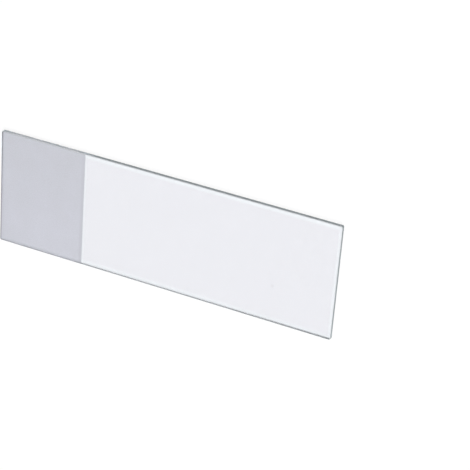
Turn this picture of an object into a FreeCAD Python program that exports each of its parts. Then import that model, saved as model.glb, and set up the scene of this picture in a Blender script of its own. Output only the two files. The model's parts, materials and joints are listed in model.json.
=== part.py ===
"""Glass microscope slide with one frosted end.

A flat strip of drawn soda-lime glass, cut to size, its rim ground flat all round and its sharp
edges and corners dulled.  One end of the upper face is ground to a matt field for writing on.

Frame, in millimetres: +X along the slide, away from the frosted end; +Y across it; +Z up.
The origin is at the centre of the lower face, which the slide lies on.
"""

import FreeCAD, Part
import os

# Driving dimensions, each set by itself.
SLIDE_LENGTH = 76.2       # along X
SLIDE_WIDTH = 25.4        # along Y
GLASS_THICKNESS = 1.0     # along Z
CORNER_CLIP = 0.2         # leg of the 45 degree cut across each corner of the outline
EDGE_BEVEL = 0.12         # leg of the 45 degree bevel where a face meets the ground rim
FROSTED_LENGTH = 19.75    # how far the matt field reaches in from the end of the slide
FROSTING_DEPTH = 0.015    # glass that the grinding takes off the upper face

# Places that follow from them.
HALF_LENGTH = SLIDE_LENGTH / 2
HALF_WIDTH = SLIDE_WIDTH / 2
FROSTED_END_X = -HALF_LENGTH
FROSTED_FACE_Z = GLASS_THICKNESS - FROSTING_DEPTH


def outline():
    """The slide's plan, anticlockwise: a rectangle whose four corners are cut off."""
    clipped_x = HALF_LENGTH - CORNER_CLIP
    clipped_y = HALF_WIDTH - CORNER_CLIP
    corners = [
        (HALF_LENGTH, -clipped_y),
        (HALF_LENGTH, clipped_y),
        (clipped_x, HALF_WIDTH),
        (-clipped_x, HALF_WIDTH),
        (-HALF_LENGTH, clipped_y),
        (-HALF_LENGTH, -clipped_y),
        (-clipped_x, -HALF_WIDTH),
        (clipped_x, -HALF_WIDTH),
    ]
    points = [FreeCAD.Vector(x, y, 0) for x, y in corners]
    return Part.makePolygon(points + points[:1])


def ground_strip():
    """The cut strip of glass, with both faces bevelled into its ground rim."""
    strip = Part.Face(outline()).extrude(FreeCAD.Vector(0, 0, GLASS_THICKNESS))
    face_edges = [edge for edge in strip.Edges if edge.BoundBox.ZLength < GLASS_THICKNESS / 2]
    return strip.makeChamfer(EDGE_BEVEL, face_edges)


def frosting_cut():
    """The layer that grinding takes off one end of the upper face, edge to edge."""
    layer = Part.makeBox(FROSTED_LENGTH, SLIDE_WIDTH, FROSTING_DEPTH)
    layer.translate(FreeCAD.Vector(FROSTED_END_X, -HALF_WIDTH, FROSTED_FACE_Z))
    return layer


def glass_slide():
    """The finished slide, as one solid."""
    return ground_strip().cut(frosting_cut()).Solids[0]


def write_parts():
    """Write each sub-part to its own STEP file: this object is a single piece of glass."""
    os.makedirs("parts", exist_ok=True)
    slide = glass_slide()
    slide.exportStep("parts/glass_slide.step")
    box = slide.BoundBox
    print("glass_slide %.2f x %.2f x %.2f mm" % (box.XLength, box.YLength, box.ZLength))
    print("volume %.1f mm3, valid %s" % (slide.Volume, slide.isValid()))


write_parts()
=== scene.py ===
import json
import math

import bpy
from mathutils import Matrix, Vector


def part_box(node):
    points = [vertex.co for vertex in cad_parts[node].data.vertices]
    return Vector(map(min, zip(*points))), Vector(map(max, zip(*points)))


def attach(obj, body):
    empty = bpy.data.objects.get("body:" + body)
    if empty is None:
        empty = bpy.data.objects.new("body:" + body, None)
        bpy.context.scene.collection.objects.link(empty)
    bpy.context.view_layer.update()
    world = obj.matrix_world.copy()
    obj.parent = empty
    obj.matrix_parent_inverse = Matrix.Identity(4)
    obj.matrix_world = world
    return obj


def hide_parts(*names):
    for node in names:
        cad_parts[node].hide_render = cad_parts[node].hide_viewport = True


# A glass microscope slide with one frosted end, lying flat on a pale bench.
# Lengths are in metres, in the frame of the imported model: +X runs along the slide, away
# from its frosted end, +Y across it and +Z up, with the bench just under z = 0.

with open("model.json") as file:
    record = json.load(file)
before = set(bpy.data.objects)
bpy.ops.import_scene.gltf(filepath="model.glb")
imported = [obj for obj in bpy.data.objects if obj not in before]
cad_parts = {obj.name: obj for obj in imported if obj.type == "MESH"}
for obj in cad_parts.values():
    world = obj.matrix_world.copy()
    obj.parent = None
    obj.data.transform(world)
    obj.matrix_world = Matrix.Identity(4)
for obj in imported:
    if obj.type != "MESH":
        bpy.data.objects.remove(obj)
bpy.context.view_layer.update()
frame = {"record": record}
MM = 0.001


def mount_place(name):
    """Where one of the record's mounts lies, as a vector."""
    for mount in frame["record"]["mounts"]:
        if mount["name"] == name:
            return Vector(mount["pos_m"])
    raise KeyError(name)


# ---------------------------------------------------------------- sizes of the slide
LOW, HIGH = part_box("glass_slide")
SLIDE_LENGTH = HIGH.x - LOW.x
SLIDE_WIDTH = HIGH.y - LOW.y
GLASS_THICKNESS = HIGH.z - LOW.z
LABEL_FACE = mount_place("label_face")    # the middle of the matt field
FROSTED_LENGTH = 2 * (LABEL_FACE.x - LOW.x)
FROSTING_DEPTH = HIGH.z - LABEL_FACE.z
FROSTING_LIMIT_X = LOW.x + FROSTED_LENGTH
CORNER_CLIP = 0.2 * MM            # leg of the cut across each corner
EDGE_BEVEL = 0.12 * MM            # leg of the bevel along each face
RIM_LAP = 1.5                     # how far the rim's section laps over each face, in bevels
SCALLOP_ZONE = 1.3                # how far from a face a scallop may lie, in bevels
CUTTER_SPARE = 1.0 * MM           # what the frosting's cutter has beyond the glass
HAIR = 0.001 * MM                 # a gap too small to see
SEAM_GAP = 0.0005 * MM            # points nearer than this are the same point of a seam
SLIVER = 0.002 * MM               # and those nearer than this would leave a sliver
LEVEL_NORMAL = 0.999              # a face whose normal is more upright than this is level

# ---------------------------------------------------------------- colours, scene linear
CLEAR_TINT = (0.88, 0.885, 0.925)
MARGIN_HIGHLIGHT_TINT = (0.94, 0.97, 1.0)           # painted highlight: the clear glass just inside its outline
FRONT_REFLECTION_TINT = (0.40, 0.42, 0.44)         # painted reflection: the dark band along the front edge of the upper face
SPECK_TINT = (0.62, 0.62, 0.69)
FROSTED_PALE = (0.628, 0.637, 0.713)
FROSTED_DARK = (0.565, 0.575, 0.630)
LIMIT_TINT = (0.55, 0.56, 0.62)           # the line where the frosting stops
BORDER_SHADE_TINT = (0.27, 0.275, 0.31)         # painted shade: the frosting just inside the outline, dark where the rim shows through
RIM_TINT = (0.445, 0.485, 0.51)
RIM_FROSTED_TINT = (0.65, 0.665, 0.69)    # beside the frosting
RIM_END_TINT = (0.44, 0.53, 0.55)         # looking along the slide, glass is greener
# painted highlight: the pale bevels
BEVEL_HIGHLIGHT_TINT = (0.77, 0.80, 0.82)
BENCH_COLOUR = (0.80, 0.80, 0.80)
BENCH_SHADOWED = (0.18, 0.18, 0.18)       # what the seen bench takes from light and shadow
WHITE = (1.0, 1.0, 1.0)

# ---------------------------------------------------------------- glass
GLASS_IOR = 1.52
CLEAR_PASSES = 1.0                # share of the light that goes through polished glass
GROUND_PASSES = 0.5               # and through ground glass
RELIEF = 0.004 * MM               # depth of grain and of draw lines
NOISE_LOW = 0.3                   # most of a noise lies between these two
NOISE_HIGH = 0.7

# ---------------------------------------------------------------- handling marks, and a painted reflection along the front edge
FRONT_REFLECTION_INSET = 0.37 * MM         # from the front edge to the painted dark reflection
FRONT_REFLECTION_REACH = 0.22 * MM         # how far it spreads to both sides of that line
FRONT_REFLECTION_START_X = 6.0 * MM        # it grows from here to the clear end
FRONT_REFLECTION_CORNER = 0.5 * MM         # how far from the corner's cut it reaches
CLEAR_SPECK = Vector((24.8, -4.4, 1.0)) * MM        # a fleck of dust on the clear glass
FROSTED_SPECK = Vector((-27.3, -1.5, 1.0)) * MM     # a paler dot in the frosting

# ---------------------------------------------------------------- light
WORLD_STRENGTH = 0.7
LAMP_PLACE = (0.3, -0.35, 0.6)
LAMP_SIZE = 0.5
LAMP_POWER = 2.6
BENCH_REACH = 2.0
BENCH_GAP = 0.02 * MM             # between the bench and the lower face
BENCH_GLOW = 0.84                 # with full light on it, the seen bench comes out white

# ---------------------------------------------------------------- camera
VIEW_AIM = Vector((15.665, 4.106, 0.5)) * MM
VIEW_DIRECTION = Vector((0.34972, 0.46941, 0.81078))    # from the slide to the camera
VIEW_DISTANCE = 371.2 * MM
VIEW_ROLL = math.radians(132.66)
LENS = 143.68
SENSOR_WIDTH = 36.0


# ---------------------------------------------------------------- node helpers
def add(tree, kind, inputs=None, **settings):
    """Add a node: settings are its properties, inputs map a socket to a value or an output."""
    node = tree.nodes.new(kind)
    for name, value in settings.items():
        setattr(node, name, value)
    for key, value in (inputs or {}).items():
        if isinstance(value, bpy.types.NodeSocket):
            tree.links.new(value, node.inputs[key])
        else:
            node.inputs[key].default_value = value
    return node


def calc(tree, operation, first, second=0.0, third=0.0):
    """The output of a Math node."""
    node = add(tree, "ShaderNodeMath", {0: first, 1: second, 2: third}, operation=operation)
    return node.outputs[0]


def point(tree, x, y, z):
    """The output of a Combine XYZ node."""
    return add(tree, "ShaderNodeCombineXYZ", {"X": x, "Y": y, "Z": z}).outputs[0]


def new_tree(name, kind, sockets):
    """A node group with the named sockets, given as (name, IN or OUT, type, default)."""
    tree = bpy.data.node_groups.new(name, kind)
    for socket_name, way, socket_type, default in sockets:
        socket = tree.interface.new_socket(socket_name, in_out=way, socket_type=socket_type)
        if default is not None:
            socket.default_value = default
    given = tree.nodes.new("NodeGroupInput")
    result = tree.nodes.new("NodeGroupOutput")
    return tree, given.outputs, result.inputs


def opaque(colour):
    """A colour with full alpha."""
    return tuple(colour) + (1.0,)


def ramp(tree, value, start, end, low=0.0, high=1.0):
    """The output of a Map Range node: low at start, high at end, and held past both."""
    return add(tree, "ShaderNodeMapRange", {
        "Value": value,
        "From Min": start,
        "From Max": end,
        "To Min": low,
        "To Max": high,
    }).outputs["Result"]


def mixed(tree, factor, first, second):
    """The output of a colour mix: first where the factor is 0, second where it is 1."""
    return add(tree, "ShaderNodeMix", {
        "Factor": factor,
        6: first,
        7: second,
    }, data_type="RGBA").outputs[2]


# ---------------------------------------------------------------- the slide's body
def outline_curve(tree, size):
    """The plan: a rectangle with clipped corners, each new corner slightly rounded."""
    rectangle = add(tree, "GeometryNodeCurvePrimitiveQuadrilateral", {
        "Width": size["Length"],
        "Height": size["Width"],
    })
    clipped = add(tree, "GeometryNodeFilletCurve", {
        "Curve": rectangle.outputs[0],
        "Count": 1,
        "Radius": size["Corner Clip"],
    }, mode="POLY")
    rounded = add(tree, "GeometryNodeFilletCurve", {
        "Curve": clipped.outputs[0],
        "Count": 4,
        "Radius": size["Corner Round"],
    }, mode="POLY")
    spaced = add(tree, "GeometryNodeResampleCurve", {
        "Curve": rounded.outputs[0],
        "Length": size["Rim Spacing"],
    }, mode="LENGTH")
    return add(tree, "GeometryNodeSetCurveNormal", {
        "Curve": spaced.outputs[0],
    }, mode="Z_UP").outputs[0]


def rim_profile(tree, size):
    """The rim's section, from the upper face over both bevels to the lower face."""
    inner = calc(tree, "MULTIPLY", size["Edge Bevel"], -RIM_LAP)
    edge = calc(tree, "MULTIPLY", size["Edge Bevel"], -1.0)
    upper = calc(tree, "MULTIPLY", size["Thickness"], -1.0)
    under_bevel = calc(tree, "ADD", upper, size["Edge Bevel"])
    corners = [
        (inner, upper),
        (edge, upper),
        (0.0, under_bevel),
        (0.0, edge),
        (edge, 0.0),
        (inner, 0.0),
    ]
    line = add(tree, "GeometryNodeMeshLine", {"Count": len(corners)})
    pick = add(tree, "GeometryNodeIndexSwitch", data_type="VECTOR")
    while len(pick.index_switch_items) < len(corners):
        pick.index_switch_items.new()
    index = add(tree, "GeometryNodeInputIndex")
    tree.links.new(index.outputs[0], pick.inputs[0])
    for place, (across, up) in enumerate(corners):
        tree.links.new(point(tree, across, up, 0.0), pick.inputs[place + 1])
    shaped = add(tree, "GeometryNodeSetPosition", {
        "Geometry": line.outputs[0],
        "Position": pick.outputs[0],
    })
    curve = add(tree, "GeometryNodeMeshToCurve", {"Mesh": shaped.outputs[0]})
    return add(tree, "GeometryNodeFilletCurve", {
        "Curve": curve.outputs[0],
        "Count": 2,
        "Radius": size["Arris Round"],
        "Limit Radius": True,
    }, mode="POLY").outputs[0]


def point_height(tree):
    """How high each point of the mesh lies."""
    place = add(tree, "GeometryNodeInputPosition")
    return add(tree, "ShaderNodeSeparateXYZ", {0: place.outputs[0]}).outputs["Z"]


def nicked(tree, size, rim):
    """The rim with the small scallops that grinding leaves along both of its bevels."""
    place = add(tree, "GeometryNodeInputPosition").outputs[0]
    cells = add(tree, "ShaderNodeTexVoronoi", {
        "Vector": place,
        "Scale": calc(tree, "DIVIDE", 1.0, size["Nick Length"]),
    })
    chance = add(tree, "ShaderNodeSeparateXYZ", {0: cells.outputs["Color"]}).outputs[0]
    picked = calc(tree, "LESS_THAN", chance, size["Nick Share"])
    bowl_falloff = 2.2
    fallen = calc(tree, "MULTIPLY", cells.outputs["Distance"], bowl_falloff)
    bowl = calc(tree, "SUBTRACT", 1.0, fallen)
    bowl = calc(tree, "MAXIMUM", bowl, 0.0)
    middle = calc(tree, "MULTIPLY", size["Thickness"], 0.5)
    from_middle = calc(tree, "ABSOLUTE", calc(tree, "SUBTRACT", point_height(tree), middle))
    zone = calc(tree, "MULTIPLY", size["Edge Bevel"], SCALLOP_ZONE)
    flat_limit = calc(tree, "SUBTRACT", middle, zone)
    at_bevel = calc(tree, "GREATER_THAN", from_middle, flat_limit)
    depth = calc(tree, "MULTIPLY", calc(tree, "MULTIPLY", bowl, picked), at_bevel)
    depth = calc(tree, "MULTIPLY", depth, size["Nick Depth"])
    wander = add(tree, "ShaderNodeTexNoise", {
        "Vector": place,
        "Scale": calc(tree, "DIVIDE", 1.0, size["Wander Length"]),
        "Detail": 3.0,
    }).outputs["Fac"]
    depth = calc(tree, "ADD", depth, calc(tree, "MULTIPLY", wander, size["Wander"]))
    normal = add(tree, "GeometryNodeInputNormal").outputs[0]
    parts = add(tree, "ShaderNodeSeparateXYZ", {0: normal}).outputs
    face_limit = calc(tree, "SUBTRACT", middle, HAIR)
    off_face = calc(tree, "LESS_THAN", from_middle, face_limit)
    kept_z = calc(tree, "MULTIPLY", parts["Z"], off_face)
    inward = add(tree, "ShaderNodeVectorMath", {
        0: point(tree, parts["X"], parts["Y"], kept_z),
        "Scale": calc(tree, "MULTIPLY", depth, -1.0),
    }, operation="SCALE")
    return add(tree, "GeometryNodeSetPosition", {
        "Geometry": rim,
        "Offset": inward.outputs[0],
    }).outputs[0]


def steps(tree, size, length):
    """How many points an even grid needs along a length."""
    spaces = calc(tree, "ROUND", calc(tree, "DIVIDE", length, size["Face Spacing"]))
    return calc(tree, "ADD", spaces, 1.0)


def open_edge(tree, mesh, where=1.0):
    """The open edge of a mesh as a curve, or the part of it that a selection picks."""
    faces = add(tree, "GeometryNodeInputMeshEdgeNeighbors").outputs[0]
    one_face_only = 1.5               # under this an edge has one face, over it two
    is_open = calc(tree, "LESS_THAN", faces, one_face_only)
    return add(tree, "GeometryNodeMeshToCurve", {
        "Mesh": mesh,
        "Selection": calc(tree, "MULTIPLY", is_open, where),
    }).outputs[0]


def joined(tree, *pieces):
    """The output of a Join Geometry node."""
    join = add(tree, "GeometryNodeJoinGeometry")
    for piece in pieces:
        tree.links.new(piece, join.inputs[0])
    return join.outputs[0]


def cap(tree, size, rim, upper):
    """The flat face over the rim's upper or lower mouth: an even grid and a strip round it."""
    margin = calc(tree, "MULTIPLY", size["Face Margin"], -2.0)
    length = calc(tree, "ADD", size["Length"], margin)
    width = calc(tree, "ADD", size["Width"], margin)
    grid = add(tree, "GeometryNodeMeshGrid", {
        "Size X": length,
        "Size Y": width,
        "Vertices X": steps(tree, size, length),
        "Vertices Y": steps(tree, size, width),
    }).outputs[0]
    middle = calc(tree, "MULTIPLY", size["Thickness"], 0.5)
    side = calc(tree, "GREATER_THAN" if upper else "LESS_THAN", point_height(tree), middle)
    edges = joined(tree, open_edge(tree, rim, side), open_edge(tree, grid))
    strip = add(tree, "GeometryNodeFillCurve", {"Curve": edges}, mode="TRIANGLES").outputs[0]
    normal = add(tree, "GeometryNodeInputNormal").outputs[0]
    rise = add(tree, "ShaderNodeSeparateXYZ", {0: normal}).outputs["Z"]
    turned = add(tree, "GeometryNodeFlipFaces", {
        "Mesh": joined(tree, strip, grid),
        "Selection": calc(tree, "LESS_THAN" if upper else "GREATER_THAN", rise, 0.0),
    })
    # A grid and a filled curve are both made at height zero.
    level = size["Thickness"] if upper else 0.0
    return add(tree, "GeometryNodeTransform", {
        "Geometry": turned.outputs[0],
        "Translation": point(tree, 0.0, 0.0, level),
    }).outputs[0]


def frosting_cutter(tree, size):
    """A block over the end of the upper face, as deep in the glass as the grinding goes."""
    length = calc(tree, "ADD", size["Frosted Length"], CUTTER_SPARE)
    width = calc(tree, "ADD", size["Width"], 2 * CUTTER_SPARE)
    block = add(tree, "GeometryNodeMeshCube", {
        "Size": point(tree, length, width, CUTTER_SPARE),
        "Vertices X": steps(tree, size, length),
        "Vertices Y": steps(tree, size, width),
    })
    end = calc(tree, "MULTIPLY", size["Length"], -0.5)
    middle_x = calc(tree, "ADD", end, calc(tree, "MULTIPLY", length, 0.5))
    middle_x = calc(tree, "SUBTRACT", middle_x, CUTTER_SPARE)
    floor = calc(tree, "SUBTRACT", size["Thickness"], size["Frosting Depth"])
    middle_z = calc(tree, "ADD", floor, CUTTER_SPARE / 2)
    return add(tree, "GeometryNodeTransform", {
        "Geometry": block.outputs[0],
        "Translation": point(tree, middle_x, 0.0, middle_z),
    }).outputs[0]


def surfaced(tree, size, glass):
    """The glass with its three finishes: ground rim, polished faces and frosted field."""
    place = add(tree, "GeometryNodeInputPosition").outputs[0]
    place = add(tree, "ShaderNodeSeparateXYZ", {0: place}).outputs
    normal = add(tree, "GeometryNodeInputNormal").outputs[0]
    normal = add(tree, "ShaderNodeSeparateXYZ", {0: normal}).outputs
    level = calc(tree, "GREATER_THAN", calc(tree, "ABSOLUTE", normal["Z"]), LEVEL_NORMAL)
    half_length = calc(tree, "MULTIPLY", size["Length"], 0.5)
    limit_x = calc(tree, "SUBTRACT", size["Frosted Length"], half_length)
    frosted_end = calc(tree, "LESS_THAN", place["X"], calc(tree, "ADD", limit_x, HAIR))
    field_floor = calc(tree, "SUBTRACT", size["Thickness"], size["Frosting Depth"])
    under_field = calc(tree, "SUBTRACT", field_floor, HAIR)
    at_field = calc(tree, "GREATER_THAN", place["Z"], under_field)
    off_limit = calc(tree, "ABSOLUTE", calc(tree, "SUBTRACT", place["X"], limit_x))
    step = calc(tree, "LESS_THAN", off_limit, HAIR)
    frosted = calc(tree, "MULTIPLY", calc(tree, "MAXIMUM", level, step), at_field)
    frosted = calc(tree, "MULTIPLY", frosted, frosted_end)
    smooth = add(tree, "GeometryNodeSetShadeSmooth", {
        "Geometry": glass,
        "Selection": calc(tree, "LESS_THAN", calc(tree, "MAXIMUM", level, frosted), 0.5),
    })
    flat = add(tree, "GeometryNodeSetShadeSmooth", {
        "Geometry": smooth.outputs[0],
        "Selection": calc(tree, "MAXIMUM", level, frosted),
        "Shade Smooth": False,
    })
    whole = add(tree, "GeometryNodeRealizeInstances", {"Geometry": flat.outputs[0]}).outputs[0]
    finishes = (("Ground Rim", True), ("Polished Glass", level), ("Frosted Glass", frosted))
    for finish, where in finishes:
        whole = add(tree, "GeometryNodeSetMaterial", {
            "Geometry": whole,
            "Selection": where,
            "Material": size[finish],
        }).outputs[0]
    return whole


def slide_tree():
    """Geometry nodes that make the slide's glass from its sizes."""
    sizes = [
        ("Length", SLIDE_LENGTH),
        ("Width", SLIDE_WIDTH),
        ("Thickness", GLASS_THICKNESS),
        ("Corner Clip", CORNER_CLIP),
        ("Corner Round", 0.2 * MM),
        ("Edge Bevel", EDGE_BEVEL),
        ("Arris Round", 0.03 * MM),
        ("Frosted Length", FROSTED_LENGTH),
        ("Frosting Depth", FROSTING_DEPTH),
        ("Rim Spacing", 0.12 * MM),
        ("Face Margin", 0.7 * MM),
        ("Face Spacing", 1.0 * MM),
        ("Nick Length", 0.5 * MM),
        ("Nick Depth", 0.015 * MM),
        ("Nick Share", 0.2),
        ("Wander", 0.006 * MM),
        ("Wander Length", 1.5 * MM),
    ]
    sockets = [("Slide", "OUTPUT", "NodeSocketGeometry", None)]
    sockets += [(name, "INPUT", "NodeSocketFloat", value) for name, value in sizes]
    finishes = ("Polished Glass", "Frosted Glass", "Ground Rim")
    sockets += [(name, "INPUT", "NodeSocketMaterial", None) for name in finishes]
    tree, size, result = new_tree("Frosted end slide", "GeometryNodeTree", sockets)
    rim = add(tree, "GeometryNodeCurveToMesh", {
        "Curve": outline_curve(tree, size),
        "Profile Curve": rim_profile(tree, size),
    })
    rim = nicked(tree, size, rim.outputs[0])
    upper_face = cap(tree, size, rim, True)
    lower_face = cap(tree, size, rim, False)
    closed = add(tree, "GeometryNodeMergeByDistance", {
        "Geometry": joined(tree, rim, upper_face, lower_face),
        "Distance": SEAM_GAP,
    })
    cut = add(tree, "GeometryNodeMeshBoolean", {
        "Mesh 1": closed.outputs[0],
        "Mesh 2": frosting_cutter(tree, size),
    }, solver="MANIFOLD")
    clean = add(tree, "GeometryNodeMergeByDistance", {
        "Geometry": cut.outputs[0],
        "Distance": SLIVER,
    })
    corners = add(tree, "GeometryNodeInputMeshFaceNeighbors").outputs["Vertex Count"]
    many_sided = 4.5                  # over this a face has more than four corners
    even = add(tree, "GeometryNodeTriangulate", {
        "Mesh": clean.outputs[0],
        "Selection": calc(tree, "GREATER_THAN", corners, many_sided),
    }, ngon_method="BEAUTY")
    finished = surfaced(tree, size, even.outputs[0])
    tree.links.new(finished, result["Slide"])
    return tree


def build_slide(finishes):
    """The finished slide as a plain mesh object."""
    tree = slide_tree()
    slide = bpy.data.objects.new("ground_glass_slide", bpy.data.meshes.new("slide_start"))
    bpy.context.scene.collection.objects.link(slide)
    shaping = slide.modifiers.new("Frosted end slide", "NODES")
    shaping.node_group = tree
    for item in tree.interface.items_tree:
        if item.name in finishes:
            shaping[item.identifier] = finishes[item.name]
    graph = bpy.context.evaluated_depsgraph_get()
    mesh = bpy.data.meshes.new_from_object(slide.evaluated_get(graph))
    slide.modifiers.remove(shaping)
    mesh.name = "ground_glass_slide"
    slide.data = mesh
    return slide


# ---------------------------------------------------------------- effects that finishes share
def object_place(tree):
    """Each point's place on the slide, as a vector and as its three parts."""
    place = add(tree, "ShaderNodeTexCoord").outputs["Object"]
    return place, add(tree, "ShaderNodeSeparateXYZ", {0: place}).outputs


def on_upper_face(tree, place):
    """1 on the upper half of the glass, 0 on the lower."""
    return calc(tree, "GREATER_THAN", place["Z"], GLASS_THICKNESS / 2)


def ground_grain():
    """Shader group: ground glass, as fine pits or scratches over a slow mottle and a drift."""
    tree, given, result = new_tree("Ground grain", "ShaderNodeTree", [
        ("Pale", "INPUT", "NodeSocketColor", opaque(WHITE)),
        ("Dark", "INPUT", "NodeSocketColor", opaque((0.5, 0.5, 0.5))),
        ("Drift", "INPUT", "NodeSocketFloat", 0.5),
        ("Lay", "INPUT", "NodeSocketVector", (1.0, 1.0, 1.0)),
        ("Grain Length", "INPUT", "NodeSocketFloat", 0.1 * MM),
        ("Grain Contrast", "INPUT", "NodeSocketFloat", 0.1),
        ("Mottle Length", "INPUT", "NodeSocketFloat", 5.0 * MM),
        ("Low Roughness", "INPUT", "NodeSocketFloat", 0.5),
        ("High Roughness", "INPUT", "NodeSocketFloat", 0.7),
        ("Color", "OUTPUT", "NodeSocketColor", None),
        ("Roughness", "OUTPUT", "NodeSocketFloat", None),
        ("Height", "OUTPUT", "NodeSocketFloat", None),
    ])
    place = object_place(tree)[0]
    laid = add(tree, "ShaderNodeMapping", {"Vector": place, "Scale": given["Lay"]}).outputs[0]
    grain = add(tree, "ShaderNodeTexNoise", {
        "Vector": laid,
        "Scale": calc(tree, "DIVIDE", 1.0, given["Grain Length"]),
        "Detail": 4.0,
        "Roughness": 0.65,
    }).outputs["Fac"]
    mottle = add(tree, "ShaderNodeTexNoise", {
        "Vector": place,
        "Scale": calc(tree, "DIVIDE", 1.0, given["Mottle Length"]),
        "Detail": 3.0,
        "Roughness": 0.5,
    }).outputs["Fac"]
    patchy = ramp(tree, mottle, NOISE_LOW, NOISE_HIGH)
    paleness = calc(tree, "MULTIPLY", calc(tree, "ADD", patchy, given["Drift"]), 0.5)
    colour = mixed(tree, paleness, given["Dark"], given["Pale"])
    darkest = calc(tree, "SUBTRACT", 1.0, given["Grain Contrast"])
    palest = calc(tree, "ADD", 1.0, given["Grain Contrast"])
    grained = add(tree, "ShaderNodeVectorMath", {
        0: colour,
        "Scale": ramp(tree, grain, NOISE_LOW, NOISE_HIGH, darkest, palest),
    }, operation="SCALE").outputs[0]
    low = given["Low Roughness"]
    high = given["High Roughness"]
    roughness = ramp(tree, grain, NOISE_LOW, NOISE_HIGH, low, high)
    tree.links.new(grained, result["Color"])
    tree.links.new(roughness, result["Roughness"])
    tree.links.new(grain, result["Height"])
    return tree


def field_borders():
    """Shader group: nearness to the slide's outline, and on top to the frosting's limit."""
    tree, given, result = new_tree("Field borders", "ShaderNodeTree", [
        ("Front Reach", "INPUT", "NodeSocketFloat", 0.4 * MM),
        ("Back Reach", "INPUT", "NodeSocketFloat", 0.4 * MM),
        ("End Reach", "INPUT", "NodeSocketFloat", 0.4 * MM),
        ("Limit Reach", "INPUT", "NodeSocketFloat", 0.3 * MM),
        ("Outline", "OUTPUT", "NodeSocketFloat", None),
        ("Limit", "OUTPUT", "NodeSocketFloat", None),
    ])
    place = object_place(tree)[1]
    from_end = calc(tree, "SUBTRACT", SLIDE_LENGTH / 2, calc(tree, "ABSOLUTE", place["X"]))
    from_front = calc(tree, "ADD", place["Y"], SLIDE_WIDTH / 2)
    from_back = calc(tree, "SUBTRACT", SLIDE_WIDTH / 2, place["Y"])
    from_side = calc(tree, "MINIMUM", from_front, from_back)
    past_cut = calc(tree, "SUBTRACT", calc(tree, "ADD", from_end, from_side), CORNER_CLIP)
    from_cut = calc(tree, "MULTIPLY", past_cut, math.sqrt(0.5))
    off_limit = calc(tree, "SUBTRACT", place["X"], FROSTING_LIMIT_X)
    distances = [
        ("Front Reach", from_front),
        ("Back Reach", from_back),
        ("End Reach", from_end),
        ("End Reach", from_cut),
        ("Limit Reach", calc(tree, "ABSOLUTE", off_limit)),
    ]
    near = []
    for name, distance in distances:
        full = calc(tree, "MULTIPLY", given[name], 0.5)
        near.append(ramp(tree, distance, given[name], full))
    front, back, end, corner, limit = near
    side = calc(tree, "MAXIMUM", front, back)
    outline = calc(tree, "MAXIMUM", calc(tree, "MAXIMUM", side, end), corner)
    upper = on_upper_face(tree, place)
    tree.links.new(outline, result["Outline"])
    tree.links.new(calc(tree, "MULTIPLY", limit, upper), result["Limit"])
    return tree


def handling_marks():
    """Shader group: a faint haze from wiping, sparse dust and one speck at a chosen place."""
    tree, given, result = new_tree("Handling marks", "ShaderNodeTree", [
        ("Haze Length", "INPUT", "NodeSocketFloat", 12.0 * MM),
        ("Dust Spacing", "INPUT", "NodeSocketFloat", 3.0 * MM),
        ("Dust Share", "INPUT", "NodeSocketFloat", 0.1),
        ("Speck Place", "INPUT", "NodeSocketVector", None),
        ("Speck Radius", "INPUT", "NodeSocketFloat", 0.3 * MM),
        ("Haze", "OUTPUT", "NodeSocketFloat", None),
        ("Dust", "OUTPUT", "NodeSocketFloat", None),
    ])
    place = object_place(tree)[0]
    lengthwise = (0.35, 1.0, 1.0)
    wiped = add(tree, "ShaderNodeMapping", {"Vector": place, "Scale": lengthwise}).outputs[0]
    haze = add(tree, "ShaderNodeTexNoise", {
        "Vector": wiped,
        "Scale": calc(tree, "DIVIDE", 1.0, given["Haze Length"]),
        "Detail": 5.0,
        "Roughness": 0.6,
        "Distortion": 0.4,
    }).outputs["Fac"]
    cells = add(tree, "ShaderNodeTexVoronoi", {
        "Vector": place,
        "Scale": calc(tree, "DIVIDE", 1.0, given["Dust Spacing"]),
    })
    draw = add(tree, "ShaderNodeSeparateXYZ", {0: cells.outputs["Color"]}).outputs
    picked = calc(tree, "LESS_THAN", draw["X"], given["Dust Share"])
    smallest, largest = 0.01, 0.04      # parts of a cell
    dust_size = ramp(tree, draw["Y"], 0.0, 1.0, smallest, largest)
    dust = calc(tree, "LESS_THAN", cells.outputs["Distance"], dust_size)
    off_speck = add(tree, "ShaderNodeVectorMath", {
        0: place,
        1: given["Speck Place"],
    }, operation="DISTANCE").outputs["Value"]
    core = calc(tree, "MULTIPLY", given["Speck Radius"], 0.3)
    speck = ramp(tree, off_speck, given["Speck Radius"], core)
    clean_below, hazed_above = 0.45, 0.75
    tree.links.new(ramp(tree, haze, clean_below, hazed_above), result["Haze"])
    dust_strength = 0.5
    dust = calc(tree, "MULTIPLY", dust, calc(tree, "MULTIPLY", picked, dust_strength))
    tree.links.new(calc(tree, "MAXIMUM", dust, speck), result["Dust"])
    return tree


# ---------------------------------------------------------------- finishes
def new_glass(name, transmission):
    """A glass material, with its tree and its Principled shader."""
    material = bpy.data.materials.new(name)
    material.use_nodes = True
    tree = material.node_tree
    shader = tree.nodes["Principled BSDF"]
    shader.inputs["Transmission Weight"].default_value = transmission
    shader.inputs["IOR"].default_value = GLASS_IOR
    return material, tree, shader


def placed(tree, group, values):
    """The outputs of a shared effect, placed in a material with its own values."""
    return add(tree, "ShaderNodeGroup", values, node_tree=group).outputs


def finish_surface(tree, shader, colour, roughness, height):
    """Feed a glass shader its colour, its roughness and the relief of its surface."""
    bump = add(tree, "ShaderNodeBump", {"Height": height, "Distance": RELIEF})
    tree.links.new(colour, shader.inputs["Base Color"])
    tree.links.new(roughness, shader.inputs["Roughness"])
    tree.links.new(bump.outputs[0], shader.inputs["Normal"])


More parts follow.
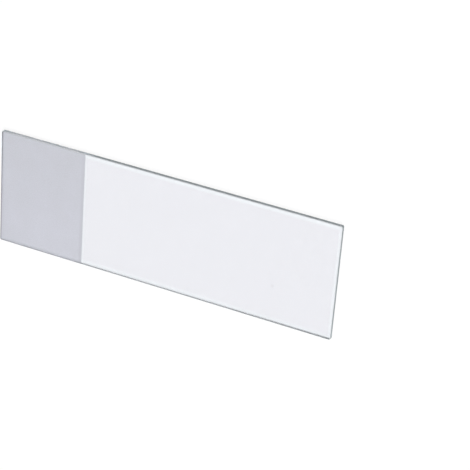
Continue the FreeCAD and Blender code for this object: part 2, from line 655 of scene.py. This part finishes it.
def painted_front_reflection(tree):
    """A painted dark reflection of the front edge on the upper face, and round the clear
    corner.
    """
    place = object_place(tree)[1]
    from_front = calc(tree, "ADD", place["Y"], SLIDE_WIDTH / 2)
    from_end = calc(tree, "SUBTRACT", SLIDE_LENGTH / 2, place["X"])
    off_band = calc(tree, "ABSOLUTE", calc(tree, "SUBTRACT", from_front, FRONT_REFLECTION_INSET))
    band = ramp(tree, off_band, FRONT_REFLECTION_REACH, FRONT_REFLECTION_REACH / 2)
    band = calc(tree, "MULTIPLY", band, on_upper_face(tree, place))
    growing = ramp(tree, place["X"], FRONT_REFLECTION_START_X, SLIDE_LENGTH / 2)
    past_cut = calc(tree, "SUBTRACT", calc(tree, "ADD", from_end, from_front), CORNER_CLIP)
    near_cut = ramp(tree, past_cut, FRONT_REFLECTION_CORNER, FRONT_REFLECTION_CORNER / 2)
    return calc(tree, "MAXIMUM", calc(tree, "MULTIPLY", band, growing), near_cut)


def draw_lines(tree):
    """The faint waves that drawing the sheet leaves along the glass."""
    place = object_place(tree)[0]
    lengthwise = (0.2, 1.0, 1.0)
    drawn = add(tree, "ShaderNodeMapping", {"Vector": place, "Scale": lengthwise}).outputs[0]
    wave_length = 8.0 * MM
    return add(tree, "ShaderNodeTexNoise", {
        "Vector": drawn,
        "Scale": 1.0 / wave_length,
        "Detail": 1.0,
    }).outputs["Fac"]


def polished_glass(borders, marks):
    """The drawn glass of both faces: clear, with a painted highlight inside the outline, a
    painted dark reflection in front and faint handling.
    """
    material, tree, shader = new_glass("polished_glass", CLEAR_PASSES)
    near = placed(tree, borders, {
        "Front Reach": 1.1 * MM,
        "Back Reach": 1.1 * MM,
        "End Reach": 0.7 * MM,
        "Limit Reach": 0.7 * MM,
    })
    trace = placed(tree, marks, {
        "Haze Length": 12.0 * MM,
        "Dust Spacing": 5.0 * MM,
        "Dust Share": 0.12,
        "Speck Place": CLEAR_SPECK,
        "Speck Radius": 0.45 * MM,
    })
    margin = calc(tree, "MAXIMUM", near["Outline"], near["Limit"])
    # Painted highlight: the glass is paler just inside its outline and by the frosting's limit.
    colour = mixed(tree, margin, opaque(CLEAR_TINT), opaque(MARGIN_HIGHLIGHT_TINT))
    # Painted reflection: a dark band along the front edge, growing towards the clear end.
    colour = mixed(tree, painted_front_reflection(tree), colour, opaque(FRONT_REFLECTION_TINT))
    colour = mixed(tree, trace["Dust"], colour, opaque(SPECK_TINT))
    clean, hazed, dusty = 0.01, 0.06, 0.5
    roughness = ramp(tree, trace["Haze"], 0.0, 1.0, clean, hazed)
    dusted = calc(tree, "MULTIPLY", trace["Dust"], dusty)
    roughness = calc(tree, "MAXIMUM", roughness, dusted)
    finish_surface(tree, shader, colour, roughness, draw_lines(tree))
    return material


def frosted_glass(grain, borders, marks):
    """The ground field for writing on: matt, with painted light making it a little paler along
    its front long side, and painted shade just inside the outline.
    """
    material, tree, shader = new_glass("frosted_glass", GROUND_PASSES)
    across = object_place(tree)[1]["Y"]
    ground = placed(tree, grain, {
        "Pale": opaque(FROSTED_PALE),
        "Dark": opaque(FROSTED_DARK),
        # Painted light: the field grows paler towards its front long side, nearer the lamp.
        "Drift": ramp(tree, across, SLIDE_WIDTH / 2, -SLIDE_WIDTH / 2),
        "Grain Length": 0.12 * MM,
        "Grain Contrast": 0.12,
        "Mottle Length": 6.0 * MM,
        "Low Roughness": 0.55,
        "High Roughness": 0.7,
    })
    near = placed(tree, borders, {
        "Front Reach": 0.3 * MM,
        "Back Reach": 0.2 * MM,
        "End Reach": 0.38 * MM,
        "Limit Reach": 0.9 * MM,
    })
    trace = placed(tree, marks, {
        "Haze Length": 15.0 * MM,
        "Dust Spacing": 4.0 * MM,
        "Dust Share": 0.1,
        "Speck Place": FROSTED_SPECK,
        "Speck Radius": 0.4 * MM,
    })
    colour = mixed(tree, near["Limit"], ground["Color"], opaque(LIMIT_TINT))
    # Painted shade just inside the outline, where the rim shows dark through the frosting.
    colour = mixed(tree, near["Outline"], colour, opaque(BORDER_SHADE_TINT))
    colour = mixed(tree, trace["Dust"], colour, opaque(FROSTED_PALE))
    finish_surface(tree, shader, colour, ground["Roughness"], ground["Height"])
    return material


def ground_rim(grain):
    """The edge: fine ground, greener at both ends, with a painted highlight that makes its
    bevels paler.
    """
    material, tree, shader = new_glass("ground_rim", GROUND_PASSES)
    place = object_place(tree)[1]
    from_end = calc(tree, "SUBTRACT", SLIDE_LENGTH / 2, calc(tree, "ABSOLUTE", place["X"]))
    at_end = ramp(tree, from_end, CORNER_CLIP, CORNER_CLIP / 2)
    fade = 2 * MM
    by_frosting = ramp(tree, place["X"], FROSTING_LIMIT_X, FROSTING_LIMIT_X - fade)
    ground = placed(tree, grain, {
        "Pale": opaque(RIM_END_TINT),
        "Dark": mixed(tree, by_frosting, opaque(RIM_TINT), opaque(RIM_FROSTED_TINT)),
        "Drift": at_end,
        "Lay": (0.06, 0.06, 1.0),
        "Grain Length": 0.06 * MM,
        "Grain Contrast": 0.2,
        "Mottle Length": 3.0 * MM,
        "Low Roughness": 0.4,
        "High Roughness": 0.6,
    })
    middle = GLASS_THICKNESS / 2
    from_middle = calc(tree, "ABSOLUTE", calc(tree, "SUBTRACT", place["Z"], middle))
    under_bevel = middle - 1.2 * EDGE_BEVEL
    at_bevel = ramp(tree, from_middle, under_bevel, middle - EDGE_BEVEL)
    highlight_beside_frosting = 0.5             # how strong the bevels' painted highlight is there, against 1 elsewhere
    paleness = ramp(tree, by_frosting, 0.0, 1.0, 1.0, highlight_beside_frosting)
    at_bevel = calc(tree, "MULTIPLY", at_bevel, paleness)
    # Painted highlight: the bevels are paler, less so beside the frosting.
    colour = mixed(tree, at_bevel, ground["Color"], opaque(BEVEL_HIGHLIGHT_TINT))
    finish_surface(tree, shader, colour, ground["Roughness"], ground["Height"])
    return material


# ---------------------------------------------------------------- bench, light and camera
def seen_rays(tree):
    """1 for rays that show what is behind: from the camera, a mirror or clear glass."""
    path = add(tree, "ShaderNodeLightPath").outputs
    seen = calc(tree, "MAXIMUM", path["Is Camera Ray"], path["Is Glossy Ray"])
    return calc(tree, "MAXIMUM", seen, path["Is Transmission Ray"])


def build_bench():
    """The pale bench: it keeps a soft shadow round the slide, and otherwise looks white."""
    mesh = bpy.data.meshes.new("bench")
    sides = ((-1, -1), (1, -1), (1, 1), (-1, 1))
    corners = [(BENCH_REACH * x, BENCH_REACH * y, -BENCH_GAP) for x, y in sides]
    mesh.from_pydata(corners, [], [(0, 1, 2, 3)])
    bench = bpy.data.objects.new("bench", mesh)
    bpy.context.scene.collection.objects.link(bench)
    material = bpy.data.materials.new("bench")
    material.use_nodes = True
    tree = material.node_tree
    tree.nodes.remove(tree.nodes["Principled BSDF"])
    lit = add(tree, "ShaderNodeBsdfDiffuse", {"Color": opaque(BENCH_COLOUR)})
    shadowed = add(tree, "ShaderNodeBsdfDiffuse", {"Color": opaque(BENCH_SHADOWED)})
    glow = add(tree, "ShaderNodeEmission", {"Color": opaque(WHITE), "Strength": BENCH_GLOW})
    near = add(tree, "ShaderNodeAddShader", {0: shadowed.outputs[0], 1: glow.outputs[0]})
    white = add(tree, "ShaderNodeEmission", {"Color": opaque(WHITE), "Strength": 1.0})
    distance = add(tree, "ShaderNodeVectorMath", {0: object_place(tree)[0]}, operation="LENGTH")
    shadow_fades = 2 * SLIDE_LENGTH
    shadow_gone = 4 * SLIDE_LENGTH
    far = ramp(tree, distance.outputs["Value"], shadow_fades, shadow_gone)
    shown = add(tree, "ShaderNodeMixShader", {0: far, 1: near.outputs[0], 2: white.outputs[0]})
    either = add(tree, "ShaderNodeMixShader", {
        0: seen_rays(tree),
        1: lit.outputs[0],
        2: shown.outputs[0],
    })
    tree.links.new(either.outputs[0], tree.nodes["Material Output"].inputs["Surface"])
    mesh.materials.append(material)


def light_world(strength):
    """An even white surround."""
    world = bpy.data.worlds.new("studio")
    world.use_nodes = True
    tree = world.node_tree
    level = ramp(tree, seen_rays(tree), 0.0, 1.0, strength, 1.0)
    surround = tree.nodes["Background"]
    tree.links.new(level, surround.inputs["Strength"])
    surround.inputs["Color"].default_value = opaque(WHITE)
    bpy.context.scene.world = world


def add_lamp(name, place, aim, size, power):
    """A square soft box."""
    lamp = bpy.data.lights.new(name, "AREA")
    lamp.size = size
    lamp.energy = power
    holder = bpy.data.objects.new(name, lamp)
    holder.location = place
    facing = Vector(aim) - Vector(place)
    holder.rotation_euler = facing.to_track_quat("-Z", "Y").to_euler()
    bpy.context.scene.collection.objects.link(holder)


def place_camera():
    """A long lens over the slide's clear end, rolled so that the frosted end is on the left."""
    camera = bpy.data.cameras.new("camera")
    camera.lens = LENS
    camera.sensor_width = SENSOR_WIDTH
    camera.clip_start = 0.01
    camera.clip_end = 10.0
    holder = bpy.data.objects.new("camera", camera)
    back = VIEW_DIRECTION.normalized()
    level = (-back).to_track_quat("-Z", "Y").to_matrix()
    roll = Matrix.Rotation(-VIEW_ROLL, 3, "Z")
    place = Matrix.Translation(VIEW_AIM + back * VIEW_DISTANCE)
    holder.matrix_world = place @ (level @ roll).to_4x4()
    bpy.context.scene.collection.objects.link(holder)
    bpy.context.scene.camera = holder


GRAIN = ground_grain()
BORDERS = field_borders()
MARKS = handling_marks()
slide = build_slide({
    "Polished Glass": polished_glass(BORDERS, MARKS),
    "Frosted Glass": frosted_glass(GRAIN, BORDERS, MARKS),
    "Ground Rim": ground_rim(GRAIN),
})
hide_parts("glass_slide")
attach(slide, "root")

build_bench()
light_world(WORLD_STRENGTH)
add_lamp("overhead_softbox", LAMP_PLACE, (0, 0, 0), LAMP_SIZE, LAMP_POWER)
place_camera()
bpy.context.scene.view_settings.view_transform = "Standard"
